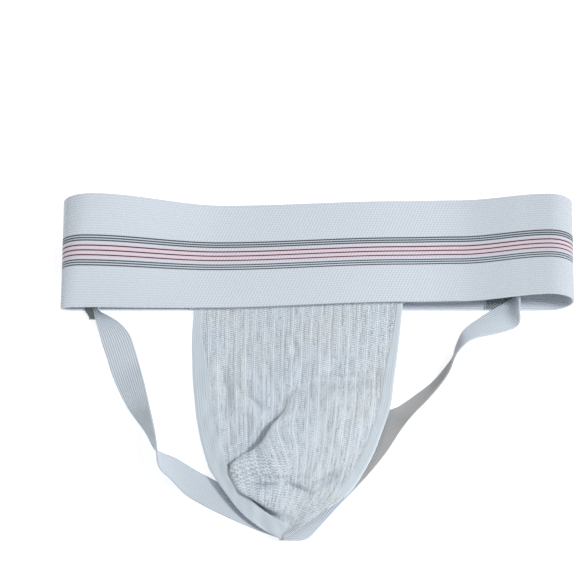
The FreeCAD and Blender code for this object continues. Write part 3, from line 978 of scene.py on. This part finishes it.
# --- leg straps
@dataclass
class LegStrap:
    """One ribbed elastic strap with its sewn end.

    Below the waistband's edge the sewn end hangs that far, is squeezed to a share of its width,
    and shifts and drifts sideways. patch is where its dense stitches start and end.
    """

    finishes: Finishes
    side: str
    tab_x: float
    stations: tuple
    edge_y: float = BAND_EDGE
    width: float = 20.0
    thick: float = 1.1
    rib: float = 1.54
    hangs: float = 0.0
    squeeze: float = 1.0
    drift: float = 0.0
    shift: float = 0.0
    patch: tuple[float, float] = (1.5, 12.0)

    def ribbon(self) -> None:
        """The strap from the waistband to the pouch tip."""
        pairs = np.array([[*a, *b] for a, b in self.stations], float)
        line = flowing(pairs, 170)
        first, second = line[:, :3], line[:, 3:]
        middle, across_dir = (first + second) / 2.0, first - second
        reach = np.minimum(np.linalg.norm(across_dir, axis=1, keepdims=True), self.width)
        half = unit(across_dir) * (reach / 2.0)
        first, second = middle + half, middle - half
        s = np.linspace(0.0, 1.0, 64)
        grid = first[:, None, :] * (1.0 - s)[None, :, None] + second[:, None, :] * s[None, :, None]
        length = way_along(middle)
        across = (s - 0.5) * self.width
        uv = pattern(length, across[None, :])
        gather = 1.0 + 2.5 * (1.0 - reach / self.width)
        ribs = 0.11 * ribbing(across, self.rib)[None, :] * gather
        n = grid_normals(grid, False)
        low = (grid[..., 2] - np.abs(n[..., 2]) * self.thick * 0.6).min(axis=1)
        grid[..., 2] += np.clip(0.05 - low, 0.0, None)[:, None]
        obj = cloth(self.side + "_leg_strap_webbing", grid, self.thick, uv, face=ribs, back=ribs)
        # the right strap gets the finish with painted shade
        self.finishes.dress(obj, Slot.STRAP, self.finishes.painted_shade_strap if self.side == "right" else None)
        body = self.side + "_leg_strap"
        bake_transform(obj)
        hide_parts(body)

    def tab_place(self, across: np.ndarray, y: np.ndarray) -> np.ndarray:
        """x of a place on the sewn end, which gathers and leans where it leaves the waistband."""
        out = smoothstep(self.edge_y + 10.0 - y, 0.0, 12.0)
        lean = self.drift * smoothstep(self.edge_y + 3.0 - y, 0.0, 10.0)
        return self.tab_x + self.shift * out + lean + across * (1.0 - (1.0 - self.squeeze) * out)

    def sewn_end(self) -> None:
        """End of the strap sewn flat inside the back layer, with its dense stitches."""
        y = np.linspace(self.edge_y - self.hangs, self.edge_y + 27.0, 34)
        across = np.linspace(-self.width / 2.0, self.width / 2.0, 64)
        z = 2.15
        x = self.tab_place(across[None, ::-1], y[:, None])
        grid = np.stack(np.broadcast_arrays(x, y[:, None], z), axis=-1)
        uv = pattern(y, across[None, :])
        ribs = 0.09 * ribbing(across, self.rib)[None, :]
        obj = cloth(self.side + "_strap_sewn_end", grid, self.thick, uv, face=-ribs, back=ribs)
        self.finishes.on_band(obj, self.side + "_strap_end_tab", Slot.STRAP)
        paths = []
        low, high = self.edge_y + self.patch[0], self.edge_y + self.patch[1]
        lift = z + self.thick / 2.0 + 0.25
        for lean in (1.0, -1.0):
            for start in np.arange(-19.0, 20.0, 1.9):
                ends = []
                for t in np.linspace(0.0, 1.0, 41):
                    x, at = start + lean * (t - 0.5) * (high - low), low + t * (high - low)
                    if abs(x) < self.width / 2.0 - 0.6:
                        ends.append((float(self.tab_place(x, at)), at, lift + (0.12 if lean > 0 else 0.0)))
                if len(ends) > 6:
                    paths.append(np.array(ends)[:: max(1, len(ends) // 6)])
        for row in (low, high):
            x = np.linspace(0.6 - self.width / 2.0, self.width / 2.0 - 0.6, 30)
            at = np.full_like(x, row)
            paths.append(np.stack([self.tab_place(x, at), at, lift + 0.1 * np.cos(x * 5.0)], axis=1))
        thread = tubes(self.side + "_strap_bartack_thread", paths, 0.24)
        # dark thread: partly its own grey, partly painted shade under the front layer
        self.finishes.on_band(thread, self.side + "_strap_bartack", Slot.THREAD, self.finishes.dark_thread_and_shade)

    def build(self) -> None:
        """Build the strap and its sewn end."""
        self.ribbon()
        self.sewn_end()


LEFT_STRAP = (
    ((-138, 66, 3.5), (-157, 66, 3.5)), ((-141, 54, 3.6), (-155, 55, 2.8)),
    ((-146.6, 47.6, 3.6), (-151.2, 48.2, 2.6)), ((-145.5, 44.6, 4.5), (-150, 44.2, 3)),
    ((-141.2, 41.7, 5.6), (-149.3, 40.6, 3)), ((-134.6, 37.5, 5.6), (-148, 35.4, 2.4)),
    ((-129.2, 32.8, 4.6), (-146.3, 29.9, 1.6)), ((-125.1, 27, 3), (-144.3, 22.1, 0.8)),
    ((-122.1, 17.9, 2), (-141.2, 12.4, 0.8)), ((-119.1, 6.4, 2.8), (-137.9, 0.7, 0.8)),
    ((-116.1, -8.6, 9.4), (-133.5, -11.2, 0.8)), ((-112.7, -27, 14.6), (-126.4, -26, 0.8)),
    ((-108.7, -49.6, 18.1), (-115.4, -42.2, 0.8)), ((-107.4, -62, 19.4), (-109, -54.8, 0.8)),
    ((-105.7, -73.7, 12.7), (-103.7, -57.8, 0.8)), ((-97.6, -80.6, 6.9), (-94.3, -61.8, 0.8)),
    ((-88.2, -89.2, 2.4), (-80.9, -70.7, 0.8)), ((-74.8, -97.4, 0.8), (-66.1, -79.5, 0.8)),
    ((-57.4, -106.6, 0.8), (-50, -88.1, 0.8)), ((-39.9, -114.8, 0.8), (-34.6, -95.5, 0.9)),
    ((-30, -119.2, 1.6), (-26.8, -99.6, 1.8)), ((-22.6, -122.2, 2.3), (-20.4, -102.8, 2.3)),
)
RIGHT_STRAP = (
    ((131, 66, 9), (116, 66, 3.6)), ((134.4, 56, 14), (127, 62, 3.4)),
    ((135.3, 48.6, 18.4), (132.8, 56.8, 2.6)), ((135.5, 41.2, 15.4), (128.5, 53.2, 3.3)),
    ((135.9, 36.4, 6.6), (122.5, 49.6, 3.3)), ((133.2, 34, 1.8), (118.4, 47.4, 3)),
    ((127.8, 31.2, 2.6), (112.4, 44, 1.6)), ((119.1, 26.1, 8.4), (107.7, 40.6, 1.2)),
    ((109.7, 22.2, 13), (102.3, 36.6, 1)), ((102.3, 18.2, 15.4), (97.6, 31.8, 0.9)),
    ((98, 13.8, 16.9), (94.9, 26.2, 0.8)), ((93.6, 8.2, 17.9), (92.6, 19.5, 0.8)),
    ((90.9, 2.3, 18.7), (90.7, 12.5, 0.8)),
    ((87.9, -5.9, 18.1), (84.9, 3.7, 0.8)), ((82.2, -15.3, 17.8), (76.8, -6.3, 0.8)),
    ((73.5, -25.7, 16.1), (66.1, -15.2, 0.8)), ((63.4, -35.8, 13), (54.7, -23.7, 0.8)),
    ((55.4, -44.3, 6.5), (43.3, -29.6, 0.8)), ((44.6, -60.6, 3), (31.9, -45.9, 0.8)),
    ((29.9, -79, 1.2), (17.1, -63.7, 0.8)), ((13.8, -97.4, 0.8), (1, -82, 0.8)),
    ((2.3, -111.1, 0.8), (-9.7, -96.5, 0.8)), ((-7, -121, 0.8), (-12.8, -101.8, 0.8)),
    ((-17, -122.2, 0.8), (-17.8, -102.4, 0.8)), ((-25.6, -122, 0.8), (-25.6, -102, 0.8)),
)


# --- studio
@dataclass
class Studio:
    """Table, lights and camera."""

    aim: Point = (-0.01845, 0.0629, 0.0)
    distance: float = 12.0
    elevation: float = 65.0
    span: float = 0.3892
    table: float = 6.0
    sky_strength: float = 0.425

    def build(self) -> None:
        """Build the set."""
        scene = bpy.context.scene
        scene.view_settings.view_transform = "Standard"
        mesh = bpy.data.meshes.new("table_top")
        corners = [(x * self.table, y * self.table, -0.0004) for x, y in ((-1, -1), (1, -1), (1, 1), (-1, 1))]
        mesh.from_pydata(corners, [], [(0, 1, 2, 3)])
        floor = bpy.data.objects.new("table_top", mesh)
        scene.collection.objects.link(floor)
        floor.data.materials.append(FloorFinish().build("pale_table"))
        world = bpy.data.worlds.new("soft_room")
        scene.world = world
        world.use_nodes = True
        sky = world.node_tree.nodes["Background"]
        sky.inputs["Color"].default_value = (0.97, 0.985, 1.0, 1.0)
        sky.inputs["Strength"].default_value = self.sky_strength
        self.lamp("key_softbox", (1.05, -0.22, 1.6), 0.42, 23.0)
        self.lamp("top_softbox", (-0.3, 0.8, 1.8), 1.2, 4.0)
        camera_data = bpy.data.cameras.new("camera")
        camera_data.sensor_width = 36.0
        camera_data.lens = 36.0 * self.distance / self.span
        camera_data.clip_start = 0.05
        camera_data.clip_end = 30.0
        camera = bpy.data.objects.new("camera", camera_data)
        scene.collection.objects.link(camera)
        e = math.radians(self.elevation)
        away = Vector((0.0, -math.cos(e), math.sin(e)))
        camera.location = Vector(self.aim) + away * self.distance
        camera.rotation_mode = "QUATERNION"
        camera.rotation_quaternion = (-away).to_track_quat("-Z", "Y")
        scene.camera = camera

    def lamp(self, name: str, place: Point, size: float, watts: float) -> None:
        """Add one soft light aimed at the object."""
        data = bpy.data.lights.new(name, "AREA")
        data.shape = "DISK"
        data.size = size
        data.energy = watts
        lamp = bpy.data.objects.new(name, data)
        bpy.context.scene.collection.objects.link(lamp)
        lamp.location = place
        lamp.rotation_mode = "QUATERNION"
        lamp.rotation_quaternion = (Vector((0.0, 0.0, 0.0)) - Vector(place)).to_track_quat("-Z", "Y")


def main() -> None:
    """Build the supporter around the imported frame."""
    logging.basicConfig(level=logging.INFO, format="%(message)s")
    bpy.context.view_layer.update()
    finishes = Finishes()
    band = Waistband(finishes)
    band.build()
    Pouch(finishes, band).build()
    # the left patch reaches below the waistband's edge, so its dark thread lies as painted shade on the
    # hanging end
    LegStrap(finishes, "left", -146.4, LEFT_STRAP, hangs=7.4, patch=(-7.0, 8.0), squeeze=0.42,
             drift=4.6, shift=-7.2).build()
    LegStrap(finishes, "right", 122.0, RIGHT_STRAP, patch=(0.6, 12.0)).build()
    Studio().build()


if __name__ == "__main__":
    main()
